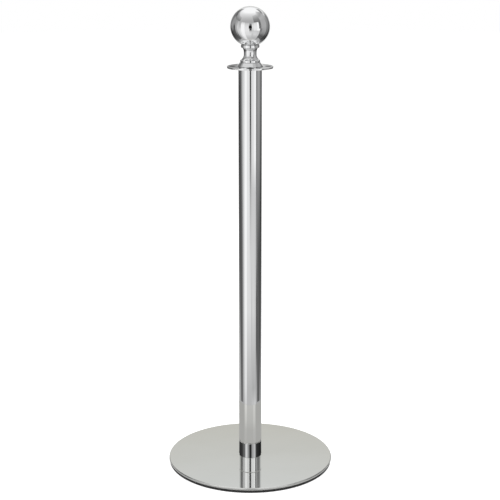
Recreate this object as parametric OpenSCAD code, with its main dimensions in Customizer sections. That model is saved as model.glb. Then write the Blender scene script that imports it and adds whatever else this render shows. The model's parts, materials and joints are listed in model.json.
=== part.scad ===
// Ball-top rope barrier post: a weighted disc base, a plain round tube, a swivelling rope
// ring and a ball finial that screws into the top of the tube.
// Millimetres, +Z up, origin on the floor under the middle of the base.
// Threads are plain cylinders at their major diameter. The tube unscrews from the long
// bolt of the base, and the finial unscrews from the plug at the top of the tube.

/* [Base] */
// Outside diameter of the base, over its polished cover
base_d = 350; // [300:5:400]
// Thickness of the rubber floor pad
pad_t = 5; // [4:0.5:6]
// Thickness of the steel weight plate
plate_t = 5; // [5:0.5:12]
// Thickness of the polished cover sheet
cover_t = 0.8; // [0.6:0.1:1.2]
// Outside radius of the cover's rolled top edge
cover_edge_r = 2; // [1.5:0.25:2.5]

/* [Post] */
// Outside diameter of the tube, and of the collar at its foot
tube_d = 48; // [46:0.5:50]
// Wall thickness of the tube
tube_wall = 1.5; // [1.2:0.1:1.6]
// Height of the top of the tube above the floor
tube_top = 847; // [700:1:950]
// Height of the collar at the foot of the tube
collar_h = 33; // [25:1:45]
// How far the spigot reaches up inside the tube, above the collar
spigot_reach = 45; // [35:1:80]

/* [Rope ring] */
// Outside diameter of the rope ring
ring_d = 94; // [92:1:110]
// Thickness of the rope ring
ring_t = 3.2; // [2.8:0.1:4]
// Number of holes for rope hooks
hook_holes = 4; // [3:1:6]
// Diameter of each hook hole
hook_hole_d = 12.5; // [10:0.5:13]
// Diameter of the circle that the hook holes lie on
hook_circle_d = 72; // [71:0.5:74]

/* [Finial] */
// Outside diameter of the hollow ball
ball_d = 80; // [74:1:90]
// Wall thickness of the ball
ball_wall = 1.2; // [1:0.1:2]
// Height of the turned neck, from its lip to the top of its flange
neck_h = 35; // [34:0.1:40]
// Diameter of the neck's lip, at the foot of the bell
neck_lip_d = 40.4; // [38:0.2:42]
// Diameter of the neck at its waist
neck_waist_d = 26; // [24:0.5:28]
// Diameter of the flange that carries the ball
neck_flange_d = 37.8; // [37:0.2:40]
// Outside diameter of the skirt washer under the neck
skirt_d = 52; // [50:0.5:54]

/* [Threads] */
// Major diameter of the finial's stud
head_thread_d = 10; // [8:0.5:10]
// Pitch of the finial's thread
head_pitch = 1.5; // [1.25:0.25:1.5]
// Major diameter of the bolt in the base
base_thread_d = 12; // [10:0.5:12]
// Pitch of the base bolt's thread
base_pitch = 1.75; // [1.5:0.25:2]
// Whole turns that free either thread
free_turns = 12; // [10:1:12]

/* [Hidden] */
$fn = 128;
nut_sides = 6;
cut = 1;                // how far a cutting shape runs past the face that it cuts

// Fits and gaps
run_gap = 0.05;         // radial gap of a running thread or bush
slide_gap = 0.15;       // radial gap of a loose slide
face_gap = 0.1;         // gap between flat faces that turn on each other

// Base, from the floor up
plate_r = base_d / 2 - cover_t;
cover_inner_edge_r = cover_edge_r - cover_t;
plate_bottom = pad_t;
plate_top = plate_bottom + plate_t;
base_top = plate_top + cover_t;
curl = 1.5;             // slope of the cover's curled-in lower edge
curl_shift = cover_t * (sqrt(2) - 1);
pad_r = base_d / 2 - curl;
pad_opening_r = 30;
groove_w = 3;
groove_depth = 0.8;
groove_step = 28;
groove_count = 4;

// Bolt joint under the base
recess_r = 23;
recess_depth = 3;
recess_top = plate_bottom + recess_depth;
flat_washer_t = 1.6;
flat_washer_r = base_thread_d;
lock_washer_t = 1;
lock_washer_r = base_thread_d * 0.87;
lock_washer_split = 2;
bolt_head_h = 3.6;
bolt_head_r = base_thread_d * 0.92;
bolt_head_bottom = recess_top - flat_washer_t - lock_washer_t - bolt_head_h;
bolt_socket_flats = 8;
bolt_socket_depth = 2.2;
bolt_r = base_thread_d / 2;
bolt_hole_r = bolt_r + 0.25;
dowel_r = 2.5;
dowel_circle_r = 16;
dowel_reach = 8;

// Spigot, collar and bush
tube_r = tube_d / 2;
tube_bore_r = tube_r - tube_wall;
collar_top = base_top + collar_h;
bush_wall = 1.2;
bush_flange_t = 1;
bush_depth = 12;
bush_r = tube_bore_r - run_gap;
bush_bore_r = bush_r - bush_wall;
spigot_r = bush_bore_r - slide_gap;
spigot_top = collar_top + spigot_reach;
spigot_chamfer = 2;
spigot_nut_h = 6;
spigot_nut_flats = base_thread_d * 1.5;
small_chamfer = 0.4;

// Tube and plugs
tube_bottom = collar_top + face_gap + bush_flange_t + run_gap;
base_travel = free_turns * base_pitch;
plug_bottom = spigot_top + spigot_nut_h + 3;
bottom_plug_h = base_travel - 1;
bolt_end = plug_bottom + base_travel + 0.5;
top_plug_h = 32;
boss_r = 17;

// Rope ring
ring_washer_t = 0.5;
ring_bottom = tube_top + ring_washer_t + face_gap;
ring_top = ring_bottom + ring_t;
ring_edge_r = 0.5;
ring_bore_r = boss_r + run_gap;
boss_top = ring_top + face_gap;

// Skirt washer, between the ring and the neck
skirt_bottom = boss_top + face_gap;
skirt_rim_h = 1.2;
skirt_h = 7.9;
skirt_crown_r = neck_lip_d / 2 + 0.4;
skirt_recess_h = 1.7;
skirt_edge_r = 0.6;

// Neck
neck_bottom = skirt_bottom + skirt_h + run_gap;
neck_top = neck_bottom + neck_h;
lip_h = 4.5;
lip_edge_r = 1.2;
flange_t = 5.6;
flange_edge_r = 0.7;
waist_z = neck_bottom + 16;
bell_curve_r = 13.3;
throat_curve_r = 15;
throat_z = neck_top - 15.5;
neck_pin_r = 12;        // short tubular pin that carries the skirt washer
neck_pin_bottom = boss_top + 0.3;
pin_bore_r = 9.8;
nut_seat_z = neck_bottom + 3;
snap_ring_t = 0.9;
snap_groove_r = 11.2;
snap_ring_r = 13.2;
snap_ring_gap = 4;
snap_bottom = skirt_bottom + 0.7;
skirt_bore_r = neck_pin_r + run_gap;
skirt_recess_r = snap_ring_r + 0.4;

// Finial stud
stud_r = head_thread_d / 2;
head_travel = free_turns * head_pitch;
stud_bottom = boss_top - head_travel - 1;
neck_nut_h = 5;
neck_nut_flats = 16;
insert_r = 12;
insert_h = 14;
stud_end_margin = 3;

// Ball: it sinks a little into the neck's dished flange
ball_r = ball_d / 2;
ball_seat_depth = 4;
ball_z = neck_top - ball_seat_depth + ball_r;
ball_bottom = ball_z - ball_r;

// Colours
chrome_c = [0.86, 0.87, 0.88];
cover_c = [0.76, 0.77, 0.75];
steel_c = [0.62, 0.63, 0.65];
plate_c = [0.22, 0.23, 0.24];
rubber_c = [0.05, 0.05, 0.05];
nylon_c = [0.88, 0.87, 0.83];
alloy_c = [0.70, 0.71, 0.73];
brass_c = [0.78, 0.62, 0.30];

// 2-D: what to take off a top outer corner at (r, z) to round it with radius e
module top_corner_cut(r, z, e) {
    difference() {
        translate([r - e, z - e]) square(e + cut);
        translate([r - e, z - e]) circle(e);
    }
}

// 2-D: the same for a bottom outer corner
module bottom_corner_cut(r, z, e) {
    translate([0, z]) mirror([0, 1]) top_corner_cut(r, 0, e);
}

// Solid of revolution with a round bore, from z0 to z1
module ring_body(outer_r, inner_r, z0, z1) {
    translate([0, 0, z0])
        difference() {
            cylinder(r = outer_r, h = z1 - z0);
            translate([0, 0, -cut]) cylinder(r = inner_r, h = z1 - z0 + 2 * cut);
        }
}

// Ring body whose outer edges have chamfers
module chamfered_ring(outer_r, inner_r, z0, z1, low, high) {
    rotate_extrude()
        polygon([
            [inner_r, z0], [outer_r - low, z0], [outer_r, z0 + low],
            [outer_r, z1 - high], [outer_r - high, z1], [inner_r, z1]
        ]);
}

// Hexagon prism measured across its flats
module hex_prism(flats, h) {
    cylinder(r = flats / 2 / cos(180 / nut_sides), h = h, $fn = nut_sides);
}

// Hexagon nut with a plain round hole
module hex_nut(flats, hole_r, z, h) {
    translate([0, 0, z])
        difference() {
            hex_prism(flats, h);
            translate([0, 0, -cut]) cylinder(r = hole_r, h = h + 2 * cut);
        }
}

// Puts its children on opposite sides of the axis, at the dowel circle
module at_dowels() {
    for (side = [-1, 1])
        translate([side * dowel_circle_r, 0, 0]) children();
}

// Black floor pad with concentric grip grooves and an opening around the bolt head
module rubber_pad() {
    color(rubber_c)
        difference() {
            ring_body(pad_r, pad_opening_r, 0, pad_t);
            for (i = [1 : groove_count])
                ring_body(pad_opening_r + i * groove_step + groove_w,
                          pad_opening_r + i * groove_step, -cut, groove_depth);
        }
}

// Steel disc that gives the base its weight, recessed underneath for the bolt head
module weight_plate() {
    slope = curl - curl_shift;
    color(plate_c)
        difference() {
            rotate_extrude()
                difference() {
                    polygon([
                        [0, plate_bottom], [plate_r - slope, plate_bottom],
                        [plate_r, plate_bottom + slope], [plate_r, plate_top], [0, plate_top]
                    ]);
                    top_corner_cut(plate_r, plate_top, cover_inner_edge_r);
                }
            translate([0, 0, plate_bottom - cut]) cylinder(r = recess_r, h = recess_depth + cut);
            cylinder(r = bolt_hole_r, h = base_top + cut);
            at_dowels() cylinder(r = dowel_r, h = base_top + cut);
        }
}

// Polished sheet over the plate, rolled over its rim and curled in under it
module base_cover() {
    base_r = base_d / 2;
    slope = curl - curl_shift;
    color(cover_c)
        difference() {
            rotate_extrude()
                difference() {
                    polygon([
                        [0, plate_bottom], [base_r - curl, plate_bottom],
                        [base_r, plate_bottom + curl], [base_r, base_top], [0, base_top]
                    ]);
                    top_corner_cut(base_r, base_top, cover_edge_r);
                    difference() {
                        polygon([
                            [-cut, plate_bottom - cut], [plate_r - slope - cut, plate_bottom - cut],
                            [plate_r, plate_bottom + slope], [plate_r, plate_top],
                            [-cut, plate_top]
                        ]);
                        top_corner_cut(plate_r, plate_top, cover_inner_edge_r);
                    }
                }
            cylinder(r = bolt_hole_r, h = base_top + cut);
            at_dowels() cylinder(r = dowel_r, h = base_top + cut);
        }
}

// Long bolt with a low socket head, up through the base and spigot into the tube's plug
module base_bolt() {
    color(steel_c)
        difference() {
            union() {
                translate([0, 0, bolt_head_bottom]) cylinder(r = bolt_head_r, h = bolt_head_h);
                translate([0, 0, bolt_head_bottom])
                    cylinder(r = bolt_r, h = bolt_end - bolt_head_bottom);
            }
            translate([0, 0, bolt_head_bottom - cut])
                hex_prism(bolt_socket_flats, bolt_socket_depth + cut);
        }
}

// Split spring washer against the bolt head
module lock_washer() {
    z = bolt_head_bottom + bolt_head_h;
    color(steel_c)
        difference() {
            ring_body(lock_washer_r, bolt_hole_r, z, z + lock_washer_t);
            translate([0, -lock_washer_split / 2, z - cut])
                cube([lock_washer_r + cut, lock_washer_split, lock_washer_t + 2 * cut]);
        }
}

// Wide flat washer against the plate
module flat_washer() {
    color(steel_c) ring_body(flat_washer_r, bolt_hole_r, recess_top - flat_washer_t, recess_top);
}

// Two dowels that stop the spigot from turning on the plate
module dowel_pins() {
    color(steel_c)
        at_dowels()
            translate([0, 0, recess_top])
                cylinder(r = dowel_r, h = base_top + dowel_reach - recess_top);
}

// Turned alloy core that stands on the base and guides the tube
module spigot() {
    color(alloy_c)
        difference() {
            chamfered_ring(spigot_r, bolt_r + run_gap, base_top, spigot_top, small_chamfer,
                           spigot_chamfer);
            at_dowels() cylinder(r = dowel_r, h = base_top + dowel_reach);
        }
}

// Thin nut that clamps the bolt and spigot to the base
module spigot_nut() {
    color(steel_c) hex_nut(spigot_nut_flats, bolt_r, spigot_top, spigot_nut_h);
}

// Polished collar around the foot of the spigot
module collar() {
    color(chrome_c)
        chamfered_ring(tube_r, spigot_r + run_gap, base_top, collar_top, small_chamfer,
                       small_chamfer);
}

// Flanged nylon bush in the mouth of the tube: it lifts with the tube but need not turn
module guide_bush() {
    flange_bottom = collar_top + face_gap;
    flange_top = flange_bottom + bush_flange_t;
    color(nylon_c) {
        ring_body(tube_r - 2 * small_chamfer, bush_bore_r, flange_bottom, flange_top);
        ring_body(bush_r, bush_bore_r, flange_top, flange_top + bush_depth);
    }
}

// Polished tube
module tube() {
    color(chrome_c)
        chamfered_ring(tube_r, tube_bore_r, tube_bottom, tube_top, small_chamfer, small_chamfer);
}

// Threaded plug fixed in the lower end of the tube, which runs on the base bolt
module bottom_plug() {
    color(steel_c)
        ring_body(tube_bore_r, bolt_r + run_gap, plug_bottom, plug_bottom + bottom_plug_h);
}

// Threaded plug fixed in the top of the tube, with a boss that the rope ring turns on
module top_plug() {
    color(steel_c)
        difference() {
            union() {
                translate([0, 0, tube_top - top_plug_h])
                    cylinder(r = tube_bore_r, h = top_plug_h);
                translate([0, 0, tube_top]) cylinder(r = boss_r, h = boss_top - tube_top);
            }
            translate([0, 0, tube_top - top_plug_h - cut])
                cylinder(r = stud_r + run_gap, h = boss_top - tube_top + top_plug_h + 2 * cut);
        }
}

// Thin nylon washer that the ring turns on
module ring_washer() {
    color(nylon_c) ring_body(tube_r - 1, boss_r, tube_top, tube_top + ring_washer_t);
}

// Flat ring with round holes for rope hooks
module rope_ring() {
    ring_r = ring_d / 2;
    color(chrome_c)
        difference() {
            rotate_extrude()
                difference() {
                    translate([ring_bore_r, ring_bottom]) square([ring_r - ring_bore_r, ring_t]);
                    top_corner_cut(ring_r, ring_top, ring_edge_r);
                    bottom_corner_cut(ring_r, ring_bottom, ring_edge_r);
                }
            for (i = [0 : hook_holes - 1])
                rotate([0, 0, i * 360 / hook_holes])
                    translate([hook_circle_d / 2, 0, ring_bottom - cut])
                        cylinder(d = hook_hole_d, h = ring_t + 2 * cut);
        }
}

// Bevelled washer between ring and neck: it lifts with the finial but need not turn
module skirt_washer() {
    skirt_r = skirt_d / 2;
    rim_top = skirt_bottom + skirt_rim_h;
    crown_z = skirt_bottom + skirt_h;
    color(chrome_c)
        rotate_extrude()
            difference() {
                polygon([
                    [skirt_bore_r, skirt_bottom], [skirt_r, skirt_bottom], [skirt_r, rim_top],
                    [skirt_crown_r, crown_z], [skirt_bore_r, crown_z]
                ]);
                bottom_corner_cut(skirt_r, skirt_bottom, skirt_edge_r);
                translate([0, skirt_bottom - cut]) square([skirt_recess_r, skirt_recess_h + cut]);
            }
}

// 2-D half profile of the neck: lip, bell, waist, throat and flange
module neck_profile() {
    lip_r = neck_lip_d / 2;
    waist_r = neck_waist_d / 2;
    flange_r = neck_flange_d / 2;
    lip_top = neck_bottom + lip_h;
    flange_bottom = neck_top - flange_t;
    difference() {
        translate([0, neck_bottom]) square([lip_r, neck_h]);
        bottom_corner_cut(lip_r, neck_bottom, lip_edge_r);
        // bell: a concave arc down from the waist to the lip
        intersection() {
            translate([waist_r + bell_curve_r, waist_z]) circle(bell_curve_r);
            translate([0, lip_top]) square([lip_r + cut, waist_z - lip_top]);
        }
        // straight waist between the two arcs
        translate([waist_r, waist_z]) square([lip_r, throat_z - waist_z]);
        // throat: a concave arc up from the waist to the flange
        intersection() {
            translate([waist_r + throat_curve_r, throat_z]) circle(throat_curve_r);
            translate([0, throat_z]) square([lip_r + cut, flange_bottom - throat_z]);
        }
        // flange, narrower than the lip
        translate([flange_r, flange_bottom - cut]) square([lip_r, flange_t + 2 * cut]);
        top_corner_cut(flange_r, neck_top, flange_edge_r);
        bottom_corner_cut(flange_r, flange_bottom, flange_edge_r);
    }
}

// Turned neck, bored for the stud, dished on top for the ball and hollow below for a nut
module neck() {
    color(chrome_c)
        difference() {
            union() {
                rotate_extrude() neck_profile();
                translate([0, 0, neck_pin_bottom])
                    cylinder(r = neck_pin_r, h = neck_bottom - neck_pin_bottom + cut);
            }
            translate([0, 0, neck_pin_bottom - cut])
                cylinder(r = pin_bore_r, h = nut_seat_z - neck_pin_bottom + cut);
            translate([0, 0, neck_pin_bottom]) cylinder(r = stud_r + 0.2, h = neck_top);
            ring_body(neck_pin_r + cut, snap_groove_r, snap_bottom, snap_bottom + snap_ring_t);
            translate([0, 0, ball_z]) sphere(ball_r);
        }
}

// Snap ring that keeps the skirt washer on the neck
module snap_ring() {
    color(steel_c)
        difference() {
            ring_body(snap_ring_r, snap_groove_r, snap_bottom, snap_bottom + snap_ring_t);
            translate([0, -snap_ring_gap / 2, snap_bottom - cut])
                cube([snap_ring_r + cut, snap_ring_gap, snap_ring_t + 2 * cut]);
        }
}

// Thin nut that locks the stud in the neck
module neck_nut() {
    color(steel_c) hex_nut(neck_nut_flats, stud_r, nut_seat_z - neck_nut_h, neck_nut_h);
}

// Stud from the ball's insert down through the neck into the tube's top plug
module head_stud() {
    stud_end = ball_bottom + insert_h;
    color(steel_c)
        translate([0, 0, stud_bottom]) cylinder(r = stud_r, h = stud_end - stud_bottom);
}

// Threaded brass insert in the bottom of the ball
module ball_insert() {
    color(brass_c)
        difference() {
            intersection() {
                translate([0, 0, ball_bottom])
                    cylinder(r = insert_r, h = insert_h + stud_end_margin);
                translate([0, 0, ball_z]) sphere(ball_r);
            }
            translate([0, 0, ball_bottom - cut]) cylinder(r = stud_r, h = insert_h + cut);
        }
}

// Hollow polished ball, open at the bottom around its insert
module ball() {
    color(chrome_c)
        difference() {
            translate([0, 0, ball_z])
                difference() {
                    sphere(ball_r);
                    sphere(ball_r - ball_wall);
                }
            translate([0, 0, ball_bottom - cut]) cylinder(r = insert_r, h = insert_h);
        }
}

rubber_pad();
weight_plate();
base_cover();
base_bolt();
lock_washer();
flat_washer();
dowel_pins();
spigot();
spigot_nut();
collar();
guide_bush();
tube();
bottom_plug();
top_plug();
ring_washer();
rope_ring();
skirt_washer();
neck();
snap_ring();
neck_nut();
head_stud();
ball_insert();
ball();
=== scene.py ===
"""Ball-top rope barrier post: the looks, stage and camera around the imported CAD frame.

Metres, +Z up, the same frame as the CAD. Eleven pieces are new meshes made to the CAD nodes'
own boxes: turned outlines, two threaded rods and the rope ring. The rest keep their CAD mesh.
"""

import json
import math

import bmesh
import bpy
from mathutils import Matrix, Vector

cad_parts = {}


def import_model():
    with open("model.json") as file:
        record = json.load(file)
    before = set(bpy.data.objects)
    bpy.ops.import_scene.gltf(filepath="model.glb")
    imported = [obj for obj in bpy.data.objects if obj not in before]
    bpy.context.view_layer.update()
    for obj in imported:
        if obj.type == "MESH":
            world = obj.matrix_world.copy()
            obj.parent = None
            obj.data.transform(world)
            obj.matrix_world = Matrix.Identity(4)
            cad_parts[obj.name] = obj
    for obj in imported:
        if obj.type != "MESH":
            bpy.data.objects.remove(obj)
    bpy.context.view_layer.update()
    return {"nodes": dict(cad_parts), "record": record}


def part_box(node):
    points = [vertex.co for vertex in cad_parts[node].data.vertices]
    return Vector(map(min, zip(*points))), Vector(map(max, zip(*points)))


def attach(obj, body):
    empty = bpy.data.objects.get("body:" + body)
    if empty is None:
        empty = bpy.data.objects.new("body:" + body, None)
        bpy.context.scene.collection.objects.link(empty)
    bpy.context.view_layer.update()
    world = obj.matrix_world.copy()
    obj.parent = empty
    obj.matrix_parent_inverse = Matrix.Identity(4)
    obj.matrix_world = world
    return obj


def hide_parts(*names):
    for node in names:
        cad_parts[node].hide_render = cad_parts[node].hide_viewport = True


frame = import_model()
MM = 0.001

# ---------------------------------------------------------------- geometry helpers

ARC_STEP = math.radians(7.5)     # angle between neighbouring points of a rounded edge
HOLD = 0.25 * MM                 # holding loops this far from the ends of a straight run
LONG_RUN = 1.5 * MM              # straight runs longer than this get holding loops
SHARP_TURN = math.radians(35)    # profile corners sharper than this stay crisp
ON_AXIS = 1e-7                   # outline points nearer to the axis than this lie on it
WELD = 1e-6                      # mesh points closer than this are one point
THREAD_SHARP_TURN = math.radians(50)
THREAD_ROWS = 8                  # rows of points to each turn of a thread
THREAD_CREST = 0.15              # share of a thread's height that its flat crest cuts off


def radius_of(node):
    """Largest distance of a CAD node from the Z axis, for a round node."""
    low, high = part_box(node)
    return max(high.x, high.y, -low.x, -low.y)


def heights_of(node):
    """Lowest and highest Z of a CAD node."""
    low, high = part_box(node)
    return low.z, high.z


def arc(centre, radius, start, end, step=ARC_STEP):
    """Points (r, z) on an arc about centre, from angle start to end in degrees."""
    first, last = math.radians(start), math.radians(end)
    count = max(2, math.ceil(abs(last - first) / step))
    return [
        (centre[0] + radius * math.cos(first + (last - first) * i / count),
         centre[1] + radius * math.sin(first + (last - first) * i / count))
        for i in range(count + 1)
    ]


def rounded(corners):
    """Closed outline from (r, z, fillet radius) corners, each fillet as an arc."""
    points = []
    for i, (r, z, fillet) in enumerate(corners):
        here = Vector((r, z))
        if fillet <= 0:
            points.append((r, z))
            continue
        to_last = (Vector(corners[i - 1][:2]) - here).normalized()
        to_next = (Vector(corners[(i + 1) % len(corners)][:2]) - here).normalized()
        half = to_last.angle(to_next) / 2
        centre = here + (to_last + to_next).normalized() * (fillet / math.sin(half))
        begin = here + to_last * (fillet / math.tan(half)) - centre
        finish = here + to_next * (fillet / math.tan(half)) - centre
        sweep = begin.angle_signed(finish)
        count = max(2, math.ceil(abs(sweep) / ARC_STEP))
        start = math.atan2(begin.y, begin.x)
        # angle_signed is clockwise-positive, so the sweep is subtracted
        points += [
            (centre.x + fillet * math.cos(start - sweep * k / count),
             centre.y + fillet * math.sin(start - sweep * k / count))
            for k in range(count + 1)
        ]
    return points


def with_holding_loops(points):
    """Adds a point just inside each end of every long straight run of a closed outline."""
    held = []
    for i, here in enumerate(points):
        start, end = Vector(here), Vector(points[(i + 1) % len(points)])
        held.append(start)
        run = end - start
        if run.length > LONG_RUN:
            held += [start + run.normalized() * HOLD, end - run.normalized() * HOLD]
    return held


def new_object(name, bm, material):
    """Object from a bmesh, linked to the scene, smooth-shaded, with one material."""
    mesh = bpy.data.meshes.new(name)
    bmesh.ops.recalc_face_normals(bm, faces=bm.faces)
    bm.to_mesh(mesh)
    bm.free()
    mesh.shade_smooth()
    for edge in mesh.edges:
        edge.use_edge_sharp = False
    mesh.materials.append(material)
    obj = bpy.data.objects.new(name, mesh)
    bpy.context.scene.collection.objects.link(obj)
    return obj


def mark_sharp(obj, limit=SHARP_TURN):
    """Marks edges whose faces meet at more than the limit, so that they stay crisp."""
    bm = bmesh.new()
    bm.from_mesh(obj.data)
    for edge in bm.edges:
        edge.smooth = not (len(edge.link_faces) == 2 and edge.calc_face_angle() > limit)
    bm.to_mesh(obj.data)
    bm.free()


def lathe(name, outline, material, segments=192):
    """Turned piece: a closed (r, z) outline swept round Z. Points on the axis are shared."""
    bm = bmesh.new()
    rings = []
    for r, z in with_holding_loops(outline):
        if r < ON_AXIS:
            rings.append([bm.verts.new((0, 0, z))])
            continue
        rings.append([
            bm.verts.new((r * math.cos(a), r * math.sin(a), z))
            for a in (math.tau * k / segments for k in range(segments))
        ])
    for one, two in zip(rings, rings[1:] + rings[:1]):
        for k in range(segments):
            m = (k + 1) % segments
            corners = [one[k % len(one)], one[m % len(one)], two[m % len(two)], two[k % len(two)]]
            corners = list(dict.fromkeys(corners))
            if len(corners) > 2:
                bm.faces.new(corners)
    obj = new_object(name, bm, material)
    mark_sharp(obj)
    return obj


def threaded_rod(name, radius, depth, pitch, low, high, material, below=(), segments=64):
    """Screw thread of that pitch between two heights, on top of a turned outline below."""
    runout = 1.5 * pitch
    rows = int((high - low) / pitch * THREAD_ROWS)
    bm = bmesh.new()
    rings = []

    def add_ring(z, ring_radius):
        rings.append([
            bm.verts.new((ring_radius(a) * math.cos(a), ring_radius(a) * math.sin(a), z))
            for a in (math.tau * k / segments for k in range(segments))
        ])

    for r, z in below:
        add_ring(z, lambda a, r=r: r)
    for i in range(rows + 1):
        z = low + (high - low) * i / rows
        fade = min(1.0, (z - low) / runout) if below else 1.0
        tip = min(1.0, max(0.0, (high - z) / pitch))

        def wall(a, z=z, fade=fade, tip=tip):
            phase = (z / pitch - a / math.tau) % 1.0
            groove = 1.0 - abs(2.0 * phase - 1.0)
            cut = max(0.0, groove - THREAD_CREST) / (1.0 - THREAD_CREST)
            return radius - depth * max(cut * fade, (1.0 - tip))

        add_ring(z, wall)
    for one, two in zip(rings, rings[1:]):
        for k in range(segments):
            m = (k + 1) % segments
            bm.faces.new((one[k], one[m], two[m], two[k]))
    for ring in (rings[0], rings[-1]):
        bm.faces.new(ring)
    obj = new_object(name, bm, material)
    mark_sharp(obj, THREAD_SHARP_TURN)
    return obj


def stands_for(obj, body, slot, *nodes):
    """obj rides on a body and replaces those CAD nodes."""
    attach(obj, body)
    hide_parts(*nodes)


# ---------------------------------------------------------------- materials

LATHE_MARK_SCALE = 0.05          # ring texture's scale times the width setting of the marks


class Shader:
    """Small helper that builds one Principled material."""

    def __init__(self, name):
        self.material = bpy.data.materials.new(name)
        self.material.use_nodes = True
        self.nodes = self.material.node_tree.nodes
        self.links = self.material.node_tree.links
        self.bsdf = self.nodes["Principled BSDF"]
        self.position = self.nodes.new("ShaderNodeTexCoord").outputs["Object"]

    def set(self, **values):
        """Sets constants on the Principled shader's own sockets."""
        for socket, value in values.items():
            self.bsdf.inputs[socket].default_value = value

    def mapped(self, scale):
        """Object position stretched by a scale per axis."""
        mapping = self.nodes.new("ShaderNodeMapping")
        mapping.inputs["Scale"].default_value = scale
        self.links.new(self.position, mapping.inputs["Vector"])
        return mapping.outputs["Vector"]

    def noise(self, scale, detail, stretch=(1, 1, 1), roughness=0.55):
        """Noise over the object's own coordinates."""
        texture = self.nodes.new("ShaderNodeTexNoise")
        texture.inputs["Scale"].default_value = scale
        texture.inputs["Detail"].default_value = detail
        texture.inputs["Roughness"].default_value = roughness
        self.links.new(self.mapped(stretch), texture.inputs["Vector"])
        return texture.outputs["Fac"]

    def ramp(self, fac, stops):
        """Grey or coloured ramp from (position, value) stops."""
        node = self.nodes.new("ShaderNodeValToRGB")
        elements = node.color_ramp.elements
        while len(elements) < len(stops):
            elements.new(0.5)
        for element, (position, value) in zip(elements, stops):
            element.position = position
            colour = value if isinstance(value, tuple) else (value, value, value)
            element.color = (*colour, 1)
        self.links.new(fac, node.inputs["Fac"])
        return node.outputs["Color"]

    def link(self, output, socket):
        """Links an output to a socket of the Principled shader."""
        self.links.new(output, self.bsdf.inputs[socket])

    def bump(self, height, distance):
        """Adds a bump of that depth on top of the bumps already there."""
        node = self.nodes.new("ShaderNodeBump")
        node.inputs["Distance"].default_value = distance
        last = self.bsdf.inputs["Normal"]
        if last.is_linked:
            self.links.new(last.links[0].from_socket, node.inputs["Normal"])
        self.links.new(height, node.inputs["Height"])
        self.links.new(node.outputs["Normal"], last)


def chrome_material(name, tint, rough_low, rough_high, drawn=(1, 1, 1)):
    """Polished plating: faint smudges in its gloss, fine polishing lines and slight ripple."""
    s = Shader(name)
    s.set(Metallic=1.0, IOR=2.5)
    smudge = s.noise(9.0, detail=5.0, roughness=0.6)
    lines = s.noise(700.0, detail=2.0, stretch=drawn)
    colour = s.ramp(smudge, [(0.30, tuple(0.965 * c for c in tint)), (0.75, tint)])
    s.link(colour, "Base Color")
    s.link(s.ramp(smudge, [(0.35, rough_low), (0.72, rough_high)]), "Roughness")
    s.bump(lines, 0.0015 * MM)
    s.bump(s.noise(14.0, detail=1.0), 0.02 * MM)
    return s.material


def cover_material():
    """Polished stainless sheet, slightly satin: fine grain and faint wipe marks."""
    s = Shader("polished_cover")
    s.set(Metallic=0.94, IOR=2.5)
    wipe = s.noise(5.0, detail=5.0, stretch=(1, 2.2, 1), roughness=0.6)
    tones = [(0.3, (0.780, 0.785, 0.765)), (0.75, (0.815, 0.820, 0.805))]
    s.link(s.ramp(wipe, tones), "Base Color")
    s.link(s.ramp(wipe, [(0.3, 0.040), (0.72, 0.075)]), "Roughness")
    s.bump(s.noise(900.0, detail=2.0), 0.0012 * MM)
    return s.material


def turned_material(name, light, dark, rough_low, rough_high, mark_width):
    """Machined metal with lathe marks along its height and across its faces."""
    s = Shader(name)
    s.set(Metallic=1.0, IOR=2.5)
    marks = s.nodes.new("ShaderNodeTexWave")
    marks.wave_type = "RINGS"
    marks.rings_direction = "SPHERICAL"
    marks.inputs["Scale"].default_value = LATHE_MARK_SCALE / mark_width
    marks.inputs["Distortion"].default_value = 0.6
    marks.inputs["Detail"].default_value = 2.0
    s.links.new(s.mapped((1, 1, 1)), marks.inputs["Vector"])
    patina = s.noise(90.0, detail=5.0)
    s.link(s.ramp(patina, [(0.3, dark), (0.75, light)]), "Base Color")
    s.link(s.ramp(patina, [(0.3, rough_low), (0.75, rough_high)]), "Roughness")
    s.bump(marks.outputs["Fac"], 0.006 * MM)
    s.bump(s.noise(800.0, detail=3.0), 0.004 * MM)
    return s.material


def dull_material(name, metallic, mottle, tones, roughness, texture, depth):
    """Unpolished material: mottled colour and roughness over a fine bump texture.

    mottle and texture are the settings of their noises; tones and roughness are ramp stops.
    """
    s = Shader(name)
    s.set(Metallic=metallic)
    fac = s.noise(**mottle)
    s.link(s.ramp(fac, tones), "Base Color")
    s.link(s.ramp(fac, roughness), "Roughness")
    s.bump(s.noise(**texture), depth)
    return s.material


CHROME_TINT = (0.885, 0.890, 0.895)
chrome_tube = chrome_material("chrome_drawn", CHROME_TINT, 0.020, 0.045, drawn=(1, 1, 0.02))
chrome_cast = chrome_material("chrome_polished", CHROME_TINT, 0.020, 0.050)
chrome_collar = chrome_material("chrome_collar", CHROME_TINT, 0.015, 0.035, drawn=(0.05, 0.05, 1))
polished_cover = cover_material()
# Black moulded rubber, matt and a little dusty
rubber = dull_material(
    "rubber", 0.0, {"scale": 60.0, "detail": 6.0},
    [(0.35, (0.010, 0.010, 0.011)), (0.8, (0.030, 0.030, 0.029))], [(0.3, 0.62), (0.8, 0.85)],
    {"scale": 1500.0, "detail": 3.0}, 0.05 * MM)
# Natural nylon, milky, with a fine moulding texture
nylon = dull_material(
    "nylon", 0.0, {"scale": 120.0, "detail": 4.0},
    [(0.3, (0.74, 0.73, 0.69)), (0.8, (0.84, 0.83, 0.79))], [(0.3, 0.34), (0.8, 0.48)],
    {"scale": 900.0, "detail": 2.0}, 0.02 * MM)
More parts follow.
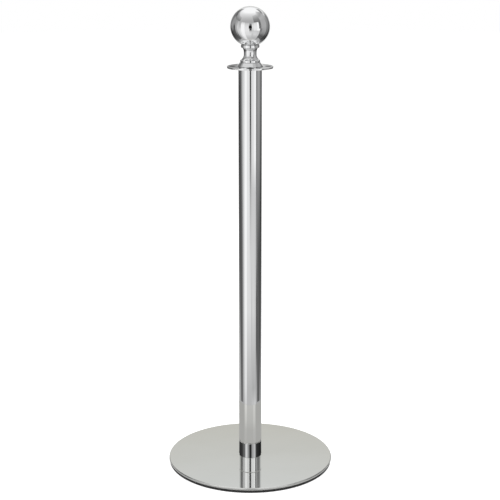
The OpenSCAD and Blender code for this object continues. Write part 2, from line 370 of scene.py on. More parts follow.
# Dark primer over a rolled steel disc
plate = dull_material(
    "plate", 0.0, {"scale": 70.0, "detail": 6.0},
    [(0.3, (0.035, 0.037, 0.040)), (0.8, (0.060, 0.062, 0.065))], [(0.3, 0.5), (0.8, 0.68)],
    {"scale": 500.0, "detail": 4.0}, 0.04 * MM)
# Hook-hole walls: near-black colour painted in as the shade inside the holes, with drill marks
hole_wall_painted_shade = dull_material(
    "hole_wall_painted_shade", 0.6, {"scale": 260.0, "detail": 5.0},
    [(0.3, (0.010, 0.010, 0.011)), (0.8, (0.028, 0.027, 0.026))], [(0.3, 0.45), (0.8, 0.62)],
    {"scale": 900.0, "detail": 2.0, "stretch": (0.1, 0.1, 1)}, 0.02 * MM)
steel = turned_material(
    "zinc_steel", (0.62, 0.63, 0.64), (0.50, 0.51, 0.53), 0.26, 0.38, 0.35 * MM)
alloy = turned_material(
    "turned_alloy", (0.80, 0.81, 0.82), (0.70, 0.71, 0.73), 0.20, 0.32, 0.45 * MM)
brass = turned_material(
    "turned_brass", (0.80, 0.62, 0.30), (0.66, 0.48, 0.21), 0.22, 0.34, 0.40 * MM)
FINISHES = {"polished_cover": polished_cover, "rubber": rubber, "nylon": nylon, "plate": plate,
            "steel": steel, "alloy": alloy, "brass": brass, "chrome": chrome_cast}

# ---------------------------------------------------------------- sizes that the boxes don't give

RUN_GAP = 0.05 * MM              # between pieces that slide or screw into each other
TUBE_WALL = 1.5 * MM
SMALL_EDGE = 0.4 * MM
BUSH_FLANGE = 1 * MM
BUSH_GAP = 0.15 * MM             # between the bush and the spigot
COVER_SHEET = 0.8 * MM
COVER_EDGE = 2.0 * MM
COVER_CURL = 1.5 * MM
PAD_OPENING = 30 * MM
PAD_GROOVES = [(58 + 28 * i) * MM for i in range(4)]
PAD_GROOVE_WIDTH = 3 * MM
PAD_GROOVE_DEPTH = 0.8 * MM
BALL_WALL = 1.2 * MM
RING_EDGE = 0.5 * MM
RING_BORE = 17.05 * MM
SKIRT_RIM = 1.2 * MM
SKIRT_RECESS = (13.6 * MM, 1.7 * MM)
NECK_PIN = 12 * MM
NECK_PIN_BORE = 9.8 * MM
NECK_STUD_BORE = 5.2 * MM
NECK_NUT_SEAT = 3 * MM           # above the lip's lower face
NECK_LIP_HEIGHT = 4.5 * MM
NECK_WAIST = 13 * MM
NECK_WAIST_HEIGHT = 16 * MM      # above the lip's lower face
NECK_BELL_CURVE = 13.3 * MM
NECK_THROAT_CURVE = 15 * MM
NECK_THROAT_DROP = 15.5 * MM     # below the top of the flange
NECK_FLANGE = 18.9 * MM
NECK_FLANGE_THICKNESS = 5.6 * MM
NECK_FLANGE_EDGE = 0.7 * MM
STUD_THREAD_DEPTH, STUD_PITCH = 0.85 * MM, 1.5 * MM
BOLT_THREAD_DEPTH, BOLT_PITCH = 1.0 * MM, 1.75 * MM
BOLT_SHANK = 6 * MM
BOLT_HEAD = 3.6 * MM             # height of the head
BOLT_SOCKET = 4.6 * MM
BOLT_SOCKET_DEPTH = 2.2 * MM
BOLT_THREAD_START = 8 * MM       # below the nut
RIM_STEPS, BORE_STEPS, HOLE_STEPS = 240, 160, 96    # points round each circle of the rope ring
RING_EDGE_STEPS = 5              # points along its rounded edges
RING_SHARP_TURN = math.radians(7)
FLAT = 0.999                     # |normal z| of a level face


# ---------------------------------------------------------------- the object's pieces

def base_cover():
    """Thin disc rolled over at its rim and curled under."""
    r, (low, high) = radius_of("base_cover"), heights_of("base_cover")
    bore = radius_of("flat_washer") / 2
    slope = COVER_CURL - COVER_SHEET * (math.sqrt(2) - 1)
    inner = r - COVER_SHEET
    outline = rounded([
        (bore, high - COVER_SHEET, 0), (inner, high - COVER_SHEET, COVER_EDGE - COVER_SHEET),
        (inner, low + slope, 0), (inner - slope, low, 0), (r - COVER_CURL, low, 0.2 * MM),
        (r, low + COVER_CURL, 0.6 * MM), (r, high, COVER_EDGE), (bore, high, 0),
    ])
    obj = lathe("base_cover_shell", outline, polished_cover, segments=360)
    stands_for(obj, "base", "polished_cover", "base_cover")


def rubber_pad():
    """Floor pad with ring grooves in its underside."""
    r, (low, high) = radius_of("rubber_pad"), heights_of("rubber_pad")
    grooves = []
    for inner in PAD_GROOVES:
        outer = inner + PAD_GROOVE_WIDTH
        top = low + PAD_GROOVE_DEPTH
        grooves += [(inner, low, 0.2 * MM), (inner, top, 0.2 * MM),
                    (outer, top, 0.2 * MM), (outer, low, 0.2 * MM)]
    outline = rounded([
        (PAD_OPENING, high, 0), (PAD_OPENING, low, 0.4 * MM), *grooves,
        (r, low, 0.7 * MM), (r, high, 0.4 * MM),
    ])
    pad = lathe("floor_pad", outline, rubber, segments=360)
    stands_for(pad, "base", "rubber", "rubber_pad")


def collar():
    """Short polished sleeve at the foot of the tube."""
    r, (low, high) = radius_of("collar"), heights_of("collar")
    bore = radius_of("spigot") + RUN_GAP
    outline = rounded([(bore, low, 0), (r, low, SMALL_EDGE),
                       (r, high, SMALL_EDGE), (bore, high, 0)])
    stands_for(lathe("foot_collar", outline, chrome_collar), "base", "chrome", "collar")


def guide_bush():
    """Nylon sleeve inside the tube, with a thin flange under it."""
    r, (low, high) = radius_of("guide_bush"), heights_of("guide_bush")
    flange_top = low + BUSH_FLANGE
    sleeve = radius_of("tube") - TUBE_WALL - RUN_GAP
    bore = radius_of("spigot") + BUSH_GAP
    outline = rounded([
        (bore, low, 0.2 * MM), (r, low, 0.3 * MM), (r, flange_top, 0.3 * MM),
        (sleeve, flange_top, 0), (sleeve, high, 0.4 * MM), (bore, high, 0.3 * MM),
    ])
    obj = lathe("foot_bush", outline, nylon)
    stands_for(obj, "post_lift", "nylon", "guide_bush")


def tube():
    """Post tube with softly rounded ends."""
    r, (low, high) = radius_of("tube"), heights_of("tube")
    bore = r - TUBE_WALL
    outline = rounded([(bore, low, 0.2 * MM), (r, low, SMALL_EDGE),
                       (r, high, SMALL_EDGE), (bore, high, 0.2 * MM)])
    obj = lathe("post_tube", outline, chrome_tube, segments=256)
    stands_for(obj, "post", "chrome", "tube")


def rope_ring():
    """Flat ring with round edges on its rim, its bore and each hook hole."""
    mounts = frame["record"]["mounts"]
    holes = next(mount for mount in mounts if mount["name"] == "hook_holes")["dims"]
    low, high = heights_of("rope_ring")
    outer = radius_of("rope_ring")
    curve = bpy.data.curves.new("rope_ring_outline", "CURVE")
    curve.dimensions = "2D"
    curve.fill_mode = "BOTH"
    curve.extrude = (high - low) / 2 - RING_EDGE
    curve.bevel_depth = RING_EDGE
    curve.bevel_resolution = RING_EDGE_STEPS
    circle = holes["pcd_mm"] * MM / 2
    hole = holes["hole_r_mm"] * MM
    count = holes["count"]
    centres = [(circle * math.cos(math.tau * k / count), circle * math.sin(math.tau * k / count))
               for k in range(count)]
    loops = [((0, 0), outer - RING_EDGE, RIM_STEPS), ((0, 0), RING_BORE + RING_EDGE, BORE_STEPS)]
    loops += [(centre, hole + RING_EDGE, HOLE_STEPS) for centre in centres]
    for (x, y), radius, steps in loops:
        spline = curve.splines.new("POLY")
        spline.points.add(steps - 1)
        spline.use_cyclic_u = True
        for k, point in enumerate(spline.points):
            a = math.tau * k / steps
            point.co = (x + radius * math.cos(a), y + radius * math.sin(a), 0, 1)
    source = bpy.data.objects.new("rope_ring_source", curve)
    mesh = bpy.data.meshes.new_from_object(source)
    bpy.data.objects.remove(source)
    bm = bmesh.new()
    bm.from_mesh(mesh)
    bpy.data.meshes.remove(mesh)
    bmesh.ops.remove_doubles(bm, verts=bm.verts, dist=WELD)
    bmesh.ops.translate(bm, verts=bm.verts, vec=(0, 0, (low + high) / 2))
    obj = new_object("hook_ring", bm, chrome_cast)
    # The hook holes' walls and rounded edges take the near-black material: painted shade inside
    # the holes
    obj.data.materials.append(hole_wall_painted_shade)
    for face in obj.data.polygons:
        if abs(face.normal.z) < FLAT:
            off = min(math.dist(face.center[:2], centre) for centre in centres)
            face.material_index = int(off < hole + RING_EDGE)
    mark_sharp(obj, RING_SHARP_TURN)
    stands_for(obj, "ring", "chrome", "rope_ring")


def skirt_washer():
    """Bevelled washer with a recess underneath for the snap ring."""
    r, (low, high) = radius_of("skirt_washer"), heights_of("skirt_washer")
    crown = radius_of("neck") + 0.4 * MM
    bore = NECK_PIN + RUN_GAP
    recess, recess_height = SKIRT_RECESS
    outline = rounded([
        (bore, low + recess_height, 0), (recess, low + recess_height, 0), (recess, low, 0),
        (r, low, 0.6 * MM), (r, low + SKIRT_RIM, 0.5 * MM), (crown, high, 0.4 * MM),
        (bore, high, 0),
    ])
    obj = lathe("neck_skirt", outline, chrome_cast)
    stands_for(obj, "finial_lift", "chrome", "skirt_washer")


def neck():
    """Lip, bell, waist, throat and dished flange, with the hollow pin below."""
    pin_low, top = heights_of("neck")
    lip_r = radius_of("neck")
    lip_low = heights_of("skirt_washer")[1] + RUN_GAP
    lip_top = lip_low + NECK_LIP_HEIGHT
    waist_z = lip_low + NECK_WAIST_HEIGHT
    throat_z = top - NECK_THROAT_DROP
    flange_low = top - NECK_FLANGE_THICKNESS
    ball_r = radius_of("ball")
    ball_z = heights_of("ball")[1] - ball_r
    bell_start = 180 + math.degrees(math.asin((waist_z - lip_top) / NECK_BELL_CURVE))
    throat_end = 180 - math.degrees(math.asin((flange_low - throat_z) / NECK_THROAT_CURVE))
    dish_r = math.sqrt(ball_r ** 2 - (ball_z - top) ** 2)
    dish_start = -math.degrees(math.acos(dish_r / ball_r))
    dish_end = -math.degrees(math.acos(NECK_STUD_BORE / ball_r))
    fine = ARC_STEP / 2
    bell_foot = NECK_WAIST + NECK_BELL_CURVE * (1 - math.cos(math.radians(bell_start - 180)))
    outline = rounded([
        (NECK_PIN_BORE, pin_low, 0), (NECK_PIN, pin_low, 0.2 * MM), (NECK_PIN, lip_low, 0),
        (lip_r, lip_low, 1.2 * MM), (lip_r, lip_top, 0.3 * MM), (bell_foot, lip_top, 0),
    ])
    bell_centre = (NECK_WAIST + NECK_BELL_CURVE, waist_z)
    throat_centre = (NECK_WAIST + NECK_THROAT_CURVE, throat_z)
    outline += arc(bell_centre, NECK_BELL_CURVE, bell_start, 180, fine)[1:]
    outline += arc(throat_centre, NECK_THROAT_CURVE, 180, throat_end, fine)
    flange_in = NECK_FLANGE - NECK_FLANGE_EDGE
    outline += arc((flange_in, flange_low + NECK_FLANGE_EDGE), NECK_FLANGE_EDGE, -90, 0)
    outline += arc((flange_in, top - NECK_FLANGE_EDGE), NECK_FLANGE_EDGE, 0, 90)
    outline += arc((0, ball_z), ball_r, dish_start, dish_end, fine)
    nut_seat = lip_low + NECK_NUT_SEAT
    outline += [(NECK_STUD_BORE, nut_seat), (NECK_PIN_BORE, nut_seat)]
    stands_for(lathe("finial_neck", outline, chrome_cast), "finial", "chrome", "neck")


def ball():
    """Hollow ball, open at the bottom around its insert."""
    r = radius_of("ball")
    centre = heights_of("ball")[1] - r
    opening = radius_of("ball_insert")
    inner = r - BALL_WALL
    fine = math.radians(1.5)
    outline = arc((0, centre), r, -math.degrees(math.acos(opening / r)), 90, fine)[:-1]
    outline += [(0, centre + r), (0, centre + inner)]
    outline += arc((0, centre), inner, 90, -math.degrees(math.acos(opening / inner)), fine * 2)[1:]
    obj = lathe("finial_ball", outline, chrome_cast, segments=256)
    stands_for(obj, "finial", "chrome", "ball")


def head_stud():
    """Threaded along its whole length."""
    low, high = heights_of("head_stud")
    obj = threaded_rod("finial_stud", radius_of("head_stud"), STUD_THREAD_DEPTH, STUD_PITCH,
                       low, high, steel)
    stands_for(obj, "finial", "steel", "head_stud")


def base_bolt():
    """Low socket head, plain shank and a thread where the nut and the plug run."""
    low, high = heights_of("base_bolt")
    head_r = radius_of("base_bolt")
    head_top = low + BOLT_HEAD
    thread_low = heights_of("spigot_nut")[0] - BOLT_THREAD_START
    head = [
        (BOLT_SOCKET, low + BOLT_SOCKET_DEPTH), (BOLT_SOCKET, low + 0.4 * MM),
        (BOLT_SOCKET + 0.4 * MM, low), (head_r - 0.5 * MM, low), (head_r, low + 0.5 * MM),
        (head_r, head_top - 0.3 * MM), (head_r - 0.3 * MM, head_top), (BOLT_SHANK, head_top),
        (BOLT_SHANK, thread_low - 0.5 * MM),
    ]
    obj = threaded_rod("centre_bolt", BOLT_SHANK, BOLT_THREAD_DEPTH, BOLT_PITCH,
                       thread_low, high, steel, below=head)
    stands_for(obj, "base", "steel", "base_bolt")


for build in (base_cover, rubber_pad, collar, guide_bush, tube, rope_ring, skirt_washer, neck,
              ball, head_stud, base_bolt):
    build()

# Hidden hardware keeps its CAD mesh and gets its slot's finish
for row in frame["record"]["subparts"]:
    node = frame["nodes"][row["node"]]
    if not node.hide_render:
        node.data.materials.clear()
        node.data.materials.append(FINISHES[row["material_slot"]])

# ---------------------------------------------------------------- stage

BALL_HEIGHT = 0.93       # the ceiling dome is centred on the ball
FAR = 2.67               # distance of the front windows from the post
NEAR = 0.8               # distance of the side walls
BACK = 8.0               # distance of the back wall
DOME = 2.95              # radius of the ceiling dome
WARM = (1.0, 0.995, 0.955)
FLOOR_RADIUS = 9.0
FLOOR_GLOW = 0.66        # keeps the floor as pale as the surround
BACKDROP_RADIUS = 11.0
LIGHTS_AIM = Vector((0, 0, 0.3))
CAMERA_PLACE = Vector((-0.47 * MM, -2.712, 1.20))
CAMERA_PITCH = 15.093    # degrees below level
CAMERA_LENS = 97.19      # millimetres, on a sensor 36 mm wide
CARD_STEP = 3            # degrees of azimuth between the rows of a card

# Reflection cards, seen in the polish only. Each one sweeps a path of (r, z, level) points
# round the Z axis between two azimuths in degrees: 0 is the camera's side, + is its right.
FRONT_CARDS = [
    ("window_left_soft", -67, -55, [
        (0.36, 0, 0.50), (0.47, 0, 0.62), (1.1, 0, 0.80), (FAR, 0, 0.85), (FAR, 0.3, 0.85),
        (FAR, 0.95, 0.62), (FAR, 1.9, 0.50), (FAR, 2.25, 0.45)]),
    ("window_left", -55, -33, [
        (0.36, 0, 0.72), (0.47, 0, 0.85), (1.1, 0, 1.0), (FAR, 0, 1.05), (FAR, 1.4, 1.04),
        (FAR, 1.9, 0.85), (FAR, 2.25, 0.65)]),
    ("window_left_inner", -33, -5, [
        (0.36, 0, 0.54), (0.47, 0, 0.54), (1.1, 0, 0.80), (FAR, 0, 0.87), (FAR, 0.93, 0.85),
        (FAR, 1.4, 0.78), (FAR, 1.9, 0.66), (FAR, 2.25, 0.50)]),
    ("gap_front", -5, 8, [
        (0.36, 0, 0.54), (0.47, 0, 0.54), (1.1, 0, 0.80), (1.7, 0, 0.72), (FAR, 0, 0.45),
        (FAR, 0.13, 0.22), (FAR, 0.3, 0.08), (FAR, 0.5, 0.03), (FAR, 1.4, 0.02),
        (FAR, 1.7, 0.20), (FAR, 2.0, 0.45), (FAR, 2.25, 0.45)]),
    ("window_right_inner", 8, 20, [
        (0.36, 0, 0.57), (0.47, 0, 0.53), (1.1, 0, 0.64), (1.7, 0, 0.70), (FAR, 0, 0.60),
        (FAR, 0.2, 0.68), (FAR, 0.93, 0.84), (FAR, 1.4, 0.84), (FAR, 2.25, 0.50)]),
    ("window_right_mid", 20, 41, [
        (0.36, 0, 0.62), (0.47, 0, 0.48), (1.1, 0, 0.74), (FAR, 0, 0.66), (FAR, 0.15, 0.86),
        (FAR, 0.93, 0.92), (FAR, 1.9, 0.83), (FAR, 2.25, 0.60)]),
    ("window_right", 41, 58, [
        (0.36, 0, 0.68), (0.47, 0, 0.50), (1.1, 0, 0.68), (FAR, 0, 0.66), (FAR, 0.15, 1.06),
        (FAR, 0.58, 1.06)]),
    ("window_right_high", 41, 51.5, [(FAR, 0.58, 1.06), (FAR, 1.9, 1.12), (FAR, 2.25, 0.90)]),
    ("seam_right", 58, 74, [
        (0.36, 0, 0.44), (0.47, 0, 0.40), (0.77, 0, 0.13), (1.2, 0, 0.13), (1.7, 0, 0.28),
        (FAR, 0, 0.24), (FAR, 0.58, 0.22)]),
    ("seam_right_high", 51.5, 66, [(FAR, 0.58, 0.20), (FAR, 1.9, 0.17), (FAR, 2.25, 0.16)]),
    ("wall_right_high", 66, 74, [(FAR, 0.58, 0.42), (FAR, 1.9, 0.44), (FAR, 2.25, 0.44)]),
    ("camera_side", -8.5, 9.5, [
        (FAR - 0.05, 0.60, 0.30), (FAR - 0.05, 0.68, 0.01), (FAR - 0.05, 1.32, 0.01),
        (FAR - 0.05, 1.40, 0.30)]),
]
SIDE_CARDS = [
    ("wall_right", 74, 105, [
        (NEAR, -0.17, 0.12), (NEAR, 0.1, 0.12), (NEAR, 0.25, 0.10), (NEAR, 0.4, 0.20),
        (NEAR, 0.5, 0.28), (NEAR, 0.65, 0.36), (NEAR, 0.95, 0.44), (NEAR, 1.32, 0.44)]),
    ("wall_right_back", 105, 125, [
        (NEAR, -0.17, 0.30), (NEAR, -0.12, 0.24), (NEAR, -0.05, 0.12), (NEAR, 0.02, 0.07),
        (NEAR, 0.39, 0.06), (NEAR, 0.5, 0.12), (NEAR, 0.64, 0.18), (NEAR, 0.79, 0.22),
        (NEAR, 0.95, 0.26), (NEAR, 1.32, 0.36)]),
    ("flag_right", 125, 150, [
        (NEAR, -0.17, 0.40), (NEAR, -0.12, 0.37), (NEAR, 0, 0.25), (NEAR, 0.1, 0.16),
        (NEAR, 0.24, 0.08), (NEAR, 0.47, 0.03), (NEAR, 0.64, 0.06), (NEAR, 0.79, 0.12),
        (NEAR, 0.95, 0.18), (NEAR, 1.32, 0.28)]),
    ("flag_left_back", -160, -145, [
        (NEAR, -0.17, 0.50), (NEAR, -0.1, 0.60), (NEAR, 0.1, 0.66), (NEAR, 0.26, 0.50),
        (NEAR, 0.39, 0.30), (NEAR, 0.5, 0.17), (NEAR, 0.64, 0.13), (NEAR, 0.79, 0.10),
        (NEAR, 0.93, 0.27), (NEAR, 1.32, 0.16)]),
    ("flag_left", -145, -128, [
        (NEAR, -0.17, 0.45), (NEAR, 0, 0.45), (NEAR, 0.1, 0.30), (NEAR, 0.24, 0.12),
        (NEAR, 0.47, 0.06), (NEAR, 0.6, 0.025), (NEAR, 0.68, 0.03), (NEAR, 0.79, 0.09),
        (NEAR, 0.93, 0.27), (NEAR, 1.32, 0.18)]),
    ("wall_left_back", -128, -110, [
        (NEAR, -0.17, 0.45), (NEAR, -0.1, 0.43), (NEAR, 0, 0.28), (NEAR, 0.1, 0.16),
        (NEAR, 0.24, 0.10), (NEAR, 0.5, 0.07), (NEAR, 0.7, 0.09), (NEAR, 0.8, 0.24),
        (NEAR, 0.95, 0.34), (NEAR, 1.32, 0.33)]),
    ("wall_left_mid", -110, -94, [
        (NEAR, -0.17, 0.20), (NEAR, -0.1, 0.14), (NEAR, 0, 0.10), (NEAR, 0.35, 0.09),
        (NEAR, 0.55, 0.11), (NEAR, 0.8, 0.12), (NEAR, 0.93, 0.11), (NEAR, 1.02, 0.25),
        (NEAR, 1.1, 0.34), (NEAR, 1.32, 0.33)]),
    ("wall_left", -94, -80, [
        (NEAR, -0.17, 0.14), (NEAR, 0.1, 0.14), (NEAR, 0.35, 0.17), (NEAR, 0.5, 0.27),
        (NEAR, 0.62, 0.37), (NEAR, 0.75, 0.46), (NEAR, 0.95, 0.49), (NEAR, 1.32, 0.36)]),
    ("window_left_edge", -80, -67, [
        (NEAR, -0.17, 0.38), (NEAR, 0.2, 0.44), (NEAR, 0.4, 0.55), (NEAR, 0.6, 0.68),
        (NEAR, 0.93, 0.72), (NEAR, 1.32, 0.50)]),
]
BACK_CARDS = [
    ("back_floor", 150, 200, [
        (0.36, 0, 0.60), (1.1, 0, 0.52), (2.0, 0, 0.65), (BACK, 0, 1.0)]),
    ("back_wall_right", 150, 180, [
        (BACK, 0, 1.0), (BACK, 1.5, 1.0), (BACK, 1.7, 0.56), (BACK, 2.1, 0.56),
        (BACK, 2.3, 0.85), (BACK, 2.7, (0.655, 0.65, 0.61)), (BACK, 3.2, (0.64, 0.64, 0.605)),
        (BACK, 3.8, (0.69, 0.705, 0.70)), (BACK, 6.8, 0.62)]),
    ("back_wall_left", 180, 200, [
        (BACK, 0, 1.0), (BACK, 1.5, 1.0), (BACK, 1.7, 0.34), (BACK, 2.1, 0.34),
        (BACK, 2.3, 0.80), (BACK, 2.7, (0.655, 0.65, 0.61)), (BACK, 3.2, (0.64, 0.64, 0.605)),
        (BACK, 3.8, (0.69, 0.705, 0.70)), (BACK, 6.8, 0.62)]),
]
# A pale canopy behind and beside the post, level against azimuth either way. It glows downwards
# only, so the base cover alone sees it and stays bright when it is seen from the side.
CANOPY = [(100, 0.15), (118, 0.52), (136, 1.0)]
CANOPY_HEIGHT = 0.22
CANOPY_EDGES = [(0.04, (0.774, 0.799, 0.818)), (0.85, (0.575, 0.560, 0.500))]
# The floor close to the foot: seen from above only, so that it hides nothing from the cover.
# It starts where the lower end of the tube looks, so that the collar mirrors the cover.
FOOT_CARDS = [
    ("foot_left", -160, -66, [0.43, 0.44, 0.43, 0.43]),
    ("foot_left_soft", -66, -55, [0.45, 0.46, 0.47, 0.53]),
    ("foot_window_left", -55, -33, [0.49, 0.52, 0.63, 0.75]),
    ("foot_middle", -33, 28, [0.47, 0.48, 0.53, 0.57]),
    ("foot_window_right", 28, 54, [0.49, 0.52, 0.61, 0.68]),
    ("foot_right", 54, 200, [0.43, 0.44, 0.43, 0.43]),
]
# What the collar mirrors in the cover around it, level against azimuth: a dark room with a
# window on either side and a gap at the camera. The second table is for its back.
COLLAR_ROOM = [
    (-128, 0.03), (-88, 0.04), (-76, 0.14), (-62, 0.09), (-42, 0.80), (-28, 0.48), (-16, 0.28),
    (-3, 0.01), (7, 0.01), (22, 0.40), (35, 0.44), (44, 0.62), (52, 0.50), (60, 0.10), (68, 0.03),
    (128, 0.01)]
COLLAR_ROOM_BACK = [(-128, 0.05), (-60, 0.20), (0, 0.45), (60, 0.20), (128, 0.05)]
FOOT_RADII = [0.178, 0.257, 0.36]    # after the first radius, which follows from the collar
FOOT_VIEW = math.radians(23.4)       # how steeply the camera looks down on the foot
# Ceiling level against how high and how far back a direction points
CEILING = [(0.15, 0.45), (0.33, 0.48), (0.51, 0.55), (0.67, 0.65), (0.85, 0.80), (0.92, 0.90),
           (1.0, 1.08)]
CEILING_BACK = 0.4
CEILING_FLAGS = [
    ("ceiling_flag_right", 22, 68, [(26, 0.20), (40, 0.27), (50, 0.37), (60, 0.52), (66, 0.60)]),
    ("ceiling_flag_side", 68, 128, [(26, 0.43), (40, 0.50), (50, 0.40), (60, 0.58), (67, 0.82)]),
    ("ceiling_flag_left", -160, -122, [(26, 0.12), (33, 0.13), (40, 0.44), (45, 0.62)]),
    ("ceiling_flag_left_side", -122, -68, [(26, 0.22), (32, 0.29), (40, 0.42), (46, 0.55)]),
    ("ceiling_flag_back", 128, 158, [(34, 0.40), (38, 0.24), (43, 0.28), (48, 0.70)]),
]


def glow_material(name, one_sided=False):
    """Emission as bright as the mesh's own "glow" colours."""
    material = bpy.data.materials.new(name)
    material.use_nodes = True
    nodes, links = material.node_tree.nodes, material.node_tree.links
    nodes.clear()
    colour = nodes.new("ShaderNodeAttribute")
    colour.attribute_name = "glow"
    emission = nodes.new("ShaderNodeEmission")
    links.new(colour.outputs["Color"], emission.inputs["Color"])
    shader = emission.outputs["Emission"]
    if one_sided:
        side = nodes.new("ShaderNodeNewGeometry")
        clear = nodes.new("ShaderNodeBsdfTransparent")
        mix = nodes.new("ShaderNodeMixShader")
        links.new(side.outputs["Backfacing"], mix.inputs["Fac"])
        links.new(shader, mix.inputs[1])
        links.new(clear.outputs["BSDF"], mix.inputs[2])
        shader = mix.outputs["Shader"]
    output = nodes.new("ShaderNodeOutputMaterial")
    links.new(shader, output.inputs["Surface"])
    material.cycles.emission_sampling = "NONE"
    return material


def stage_object(name, vertices, faces, material, camera=False, glossy=False, diffuse=False):
    """Stage mesh that only the named kinds of ray see, and that casts no shadow."""
    mesh = bpy.data.meshes.new(name)
    mesh.from_pydata(vertices, [], faces)
    mesh.materials.append(material)
    obj = bpy.data.objects.new(name, mesh)
    bpy.context.scene.collection.objects.link(obj)
    obj.visible_camera = camera
    obj.visible_glossy = glossy
    obj.visible_diffuse = diffuse
    obj.visible_transmission = False
    obj.visible_volume_scatter = False
    obj.visible_shadow = False
    return obj


def set_glow(obj, levels):
    """Stores one brightness per vertex: a number, or a colour."""
    glow = obj.data.color_attributes.new("glow", "FLOAT_COLOR", "POINT")
    for point, level in zip(glow.data, levels):
        colour = level if isinstance(level, tuple) else (level, level, level)
        point.color = (*colour, 1)


def on_circle(azimuth, r, z):
    """Point at an azimuth in degrees, where 0 is the camera's side."""
    a = math.radians(azimuth)
    return (r * math.sin(a), -r * math.cos(a), z)


def card(name, start, end, path, material, first_radius=None):
    """Card swept round the Z axis along a path of (r, z, level) points.

    first_radius may give the path's first radius as a function of the azimuth.
    """
    steps = max(2, math.ceil((end - start) / CARD_STEP))
    rows = len(path)
    vertices = []
    for k in range(steps + 1):
        azimuth = start + (end - start) * k / steps
        radii = [r for r, _, _ in path]
        if first_radius:
            radii[0] = first_radius(azimuth)
        vertices += [on_circle(azimuth, r, z) for r, (_, z, _) in zip(radii, path)]
    faces = [(k * rows + i, k * rows + i + 1, (k + 1) * rows + i + 1, (k + 1) * rows + i)
             for k in range(steps) for i in range(rows - 1)]
    obj = stage_object(name, vertices, faces, material, glossy=True)
    set_glow(obj, [level for _ in range(steps + 1) for _, _, level in path])


def interpolated(table, value):
    """Value of a piecewise-linear table of (position, level) rows."""
    if value <= table[0][0]:
        return table[0][1]
    for (x0, y0), (x1, y1) in zip(table, table[1:]):
        if value <= x1:
            return y0 + (y1 - y0) * (value - x0) / (x1 - x0)
    return table[-1][1]


def ceiling(material):
    """Dome over the cards: grey in front, brighter overhead and towards the back."""
    rows, columns = 16, 72
    first, last = 26, 89.9
    vertices, levels = [], []
    for i in range(rows + 1):
        e = math.radians(first + (last - first) * i / rows)
        for k in range(columns):
            x, y, _ = on_circle(360 * k / columns, math.cos(e), 0)
            vertices.append((DOME * x, DOME * y, BALL_HEIGHT + DOME * math.sin(e)))
            levels.append(interpolated(CEILING, math.sin(e) + CEILING_BACK * y))
    faces = [
        (i * columns + k, i * columns + (k + 1) % columns,
         (i + 1) * columns + (k + 1) % columns, (i + 1) * columns + k)
        for i in range(rows) for k in range(columns)
    ]
    set_glow(stage_object("ceiling", vertices, faces, material, glossy=True), levels)


def strip_faces(count):
    """Faces of a strip whose vertices come in pairs."""
    return [(2 * k + 1, 2 * k, 2 * k + 2, 2 * k + 3) for k in range(count - 1)]


def collar_surround(name, turn, table, reach, z, material):
    """Fan on the cover where the rays that leave the collar's front, or back, come down."""
    azimuths = range(-150, 151, CARD_STEP)
    vertices = []
    for azimuth in azimuths:
        x, y, _ = on_circle(turn + azimuth / 2, radius_of("tube"), z)
        dx, dy, _ = on_circle(turn + azimuth, reach, z)
        vertices += [(x + dx, y + dy, z), (x, y, z)]
    faces = strip_faces(len(azimuths))
    around = stage_object(name, vertices, faces, material, glossy=True)
    set_glow(around, [interpolated(table, azimuth) for azimuth in azimuths for _ in range(2)])


def canopy(material):
    """Level sheet from the post outwards, over the sides and back of the base."""
    azimuths = range(100, 261, 4)
    vertices, levels = [], []
    for azimuth in azimuths:
        level = interpolated(CANOPY, min(azimuth, 360 - azimuth))
        for r, tint in CANOPY_EDGES:
            vertices.append(on_circle(azimuth, r, CANOPY_HEIGHT))
            levels.append(tuple(level * c for c in tint))
    faces = strip_faces(len(azimuths))
    set_glow(stage_object("canopy", vertices, faces, material, glossy=True), levels)


def reflection_room():
    """Everything that the polish mirrors."""
    glow = glow_material("glow")
    for name, start, end, path in FRONT_CARDS + SIDE_CARDS + BACK_CARDS:
        card(name, start, end, path, glow)
    for name, start, end, stops in CEILING_FLAGS:
        inside = 0.98 * DOME
        path = [(inside * math.cos(math.radians(e)),
                 BALL_HEIGHT + inside * math.sin(math.radians(e)), level) for e, level in stops]
        card(name, start, end, path, glow)
    ceiling(glow)
    upward = glow_material("glow_upward", one_sided=True)
    low, high = -0.5 * MM, heights_of("base_cover")[1] + 0.4 * MM
    collar_low, collar_high = heights_of("collar")
    post, reach = radius_of("tube"), (collar_high - collar_low) / math.tan(FOOT_VIEW)

    def foot_start(azimuth):
        """Where a ray that leaves the collar's top towards that azimuth meets the cover."""
        normal = math.radians(azimuth) / 2
        return math.sqrt(post ** 2 + reach ** 2 + 2 * post * reach * math.cos(normal))

    canopy(upward)
    for name, start, end, levels in FOOT_CARDS:
        path = [(r, z, tuple(level * c for c in WARM))
                for r, z, level in zip([0, *FOOT_RADII], [high, high, low, low], levels)]
        card(name, start, end, path, upward, first_radius=foot_start)
    collar_surround("collar_surround", 0, COLLAR_ROOM, reach, high + 0.1 * MM, upward)
    collar_surround("collar_surround_back", 180, COLLAR_ROOM_BACK, reach, high, upward)


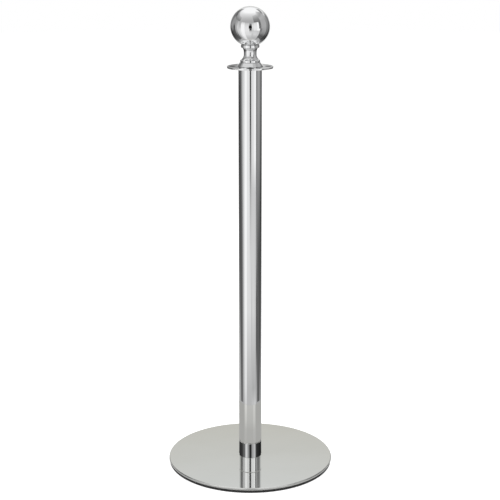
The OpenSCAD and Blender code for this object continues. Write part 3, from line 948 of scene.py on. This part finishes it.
def floor():
    """Plain pale floor, which takes the soft contact shadow."""
    material = bpy.data.materials.new("floor")
    material.use_nodes = True
    bsdf = material.node_tree.nodes["Principled BSDF"]
    bsdf.inputs["Base Color"].default_value = (0.85, 0.85, 0.85, 1)
    bsdf.inputs["Roughness"].default_value = 0.9
    bsdf.inputs["Emission Color"].default_value = (1, 1, 1, 1)
    bsdf.inputs["Emission Strength"].default_value = FLOOR_GLOW
    material.cycles.emission_sampling = "NONE"
    steps = 96
    vertices = [on_circle(360 * k / steps, FLOOR_RADIUS, 0.0) for k in range(steps)]
    stage_object("floor", vertices, [range(steps)], material, camera=True, diffuse=True)


def backdrop():
    """White surround that only the camera sees."""
    bm = bmesh.new()
    bmesh.ops.create_icosphere(bm, subdivisions=3, radius=BACKDROP_RADIUS)
    vertices = [tuple(v.co) for v in bm.verts]
    faces = [tuple(v.index for v in f.verts) for f in bm.faces]
    bm.free()
    obj = stage_object("backdrop", vertices, faces, glow_material("backdrop"), camera=True)
    set_glow(obj, [1.0] * len(vertices))


def soft_light(name, location, size, watts):
    """Round area light aimed at the post, unseen in the polish."""
    light = bpy.data.lights.new(name, "AREA")
    light.shape = "DISK"
    light.size = size
    light.energy = watts
    obj = bpy.data.objects.new(name, light)
    obj.location = location
    obj.rotation_mode = "QUATERNION"
    obj.rotation_quaternion = (Vector(location) - LIGHTS_AIM).to_track_quat("Z", "Y")
    obj.visible_glossy = False
    bpy.context.scene.collection.objects.link(obj)


def world():
    """Even grey fill light."""
    made = bpy.data.worlds.new("room")
    made.use_nodes = True
    background = made.node_tree.nodes["Background"]
    background.inputs["Color"].default_value = (0.5, 0.5, 0.5, 1)
    background.inputs["Strength"].default_value = 0.9
    bpy.context.scene.world = made


def camera():
    """The photograph's view: a little above the head, looking down at the whole post."""
    data = bpy.data.cameras.new("camera")
    data.sensor_width = 36
    data.lens = CAMERA_LENS
    data.clip_start, data.clip_end = 0.05, 60
    obj = bpy.data.objects.new("camera", data)
    obj.location = CAMERA_PLACE
    obj.rotation_euler = (math.radians(90 - CAMERA_PITCH), 0, 0)
    bpy.context.scene.collection.objects.link(obj)
    bpy.context.scene.camera = obj


reflection_room()
floor()
backdrop()
soft_light("light_overhead", (0.0, 0.6, 2.8), 2.2, 38)
soft_light("light_left", (-2.2, -1.2, 1.9), 1.6, 20)
soft_light("light_right", (2.2, -0.8, 1.9), 1.6, 16)
world()
camera()
bpy.context.scene.view_settings.view_transform = "Standard"
